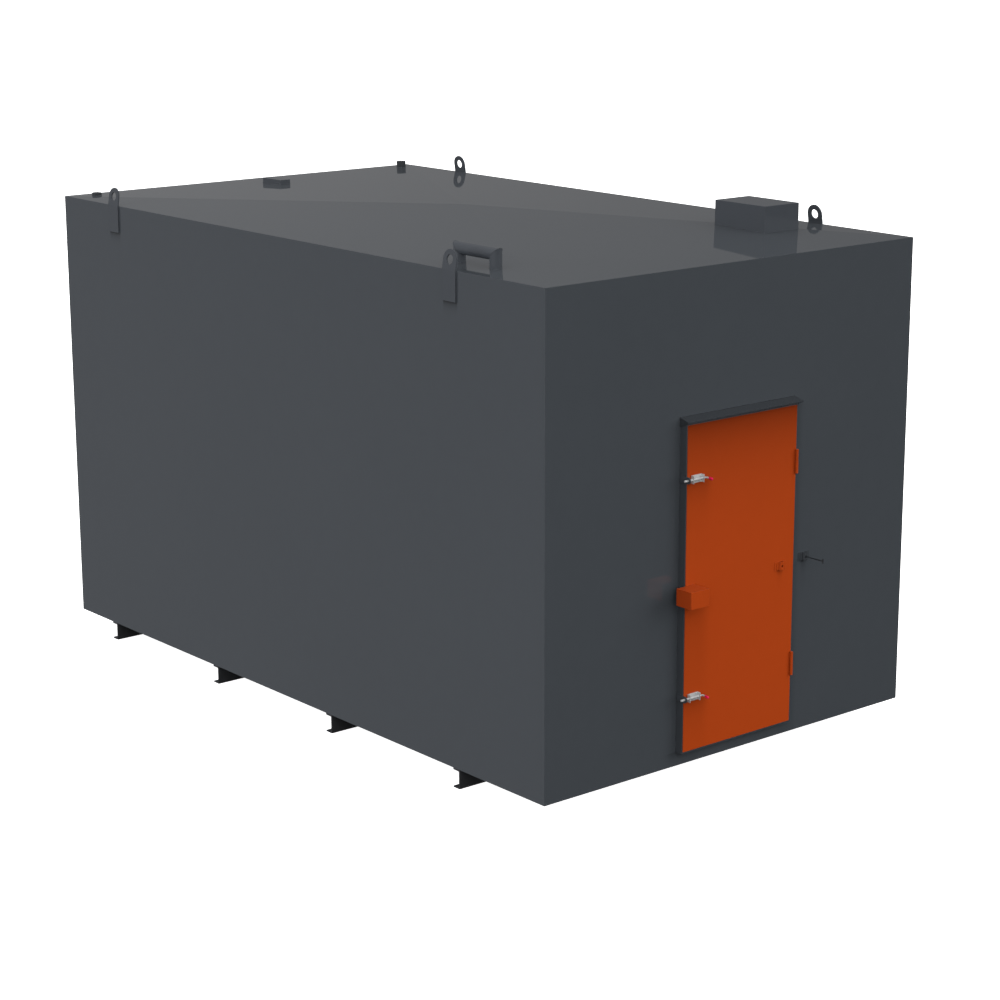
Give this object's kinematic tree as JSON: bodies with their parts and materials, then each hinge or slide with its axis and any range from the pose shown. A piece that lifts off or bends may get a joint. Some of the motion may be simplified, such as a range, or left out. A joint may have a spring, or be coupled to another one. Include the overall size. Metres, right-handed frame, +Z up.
{
  "type": "rectangular storage tank",
  "caption": "Rectangular steel storage tank with a low hipped roof, on cross bearers, with a hooded access door in one end, lifting lugs and roof fittings.",
  "frame": {"origin": "centre of the bounding box in plan, on the ground at the underside of the bearers", "axes": "+Z up, -Y out of the end with the door, +X to the right seen from that end"},
  "size_m": [2.4666, 4.3535, 2.7002],
  "materials": {
    "anthracite_paint": "semi-gloss",
    "orange_paint": "semi-gloss",
    "zinc_plate": "bright zinc plate",
    "crimson_grip": "satin"
  },
  "bodies": {
    "tank": {"floor_plate": "anthracite_paint", "roof_plate": "anthracite_paint", "side_wall_left": "anthracite_paint", "side_wall_right": "anthracite_paint", "rear_wall": "anthracite_paint", "front_wall_left": "anthracite_paint", "front_wall_right": "anthracite_paint", "front_wall_over_door": "anthracite_paint", "front_wall_under_door": "anthracite_paint", "bearer_front": "anthracite_paint", "bearer_front_middle": "anthracite_paint", "bearer_rear_middle": "anthracite_paint", "bearer_rear": "anthracite_paint", "lifting_lug_front_left": "anthracite_paint", "lifting_lug_front_right": "anthracite_paint", "lifting_lug_rear_left": "anthracite_paint", "lifting_lug_rear_right": "anthracite_paint", "door_frame": "anthracite_paint", "door_hood": "anthracite_paint", "bolt_catch_upper": "anthracite_paint", "bolt_catch_lower": "anthracite_paint", "hinge_upper_frame_half": "orange_paint", "hinge_lower_frame_half": "orange_paint", "retainer_bracket": "anthracite_paint", "retainer_rod": "anthracite_paint", "roof_vent_box": "anthracite_paint", "roof_low_box": "anthracite_paint", "roof_plug": "anthracite_paint", "roof_stub": "anthracite_paint", "pipe_loop_front_leg": "anthracite_paint", "pipe_loop_rear_leg": "anthracite_paint", "pipe_loop_top": "anthracite_paint"},
    "door": {"door_leaf": "orange_paint", "hinge_upper_door_half": "orange_paint", "hinge_lower_door_half": "orange_paint", "lock_box": "orange_paint", "retainer_keeper": "orange_paint", "bolt_bracket_upper": "zinc_plate", "bolt_bracket_lower": "zinc_plate"},
    "bolt_upper": {"bolt_rod_upper": "zinc_plate", "bolt_grip_upper": "crimson_grip"},
    "bolt_lower": {"bolt_rod_lower": "zinc_plate", "bolt_grip_lower": "crimson_grip"}
  },
  "joints": [
    {"name": "door_hinge", "type": "hinge", "parent": "tank", "child": "door", "pos_m": [0.3566, -2.08155, 1], "axis": [0, 0, 1], "range_deg": [0, 120]},
    {"name": "bolt_upper_slide", "type": "slide", "parent": "door", "child": "bolt_upper", "axis": [1, 0, 0], "range_m": [0, 0.034]},
    {"name": "bolt_lower_slide", "type": "slide", "parent": "door", "child": "bolt_lower", "axis": [1, 0, 0], "range_m": [0, 0.034]}
  ]
}
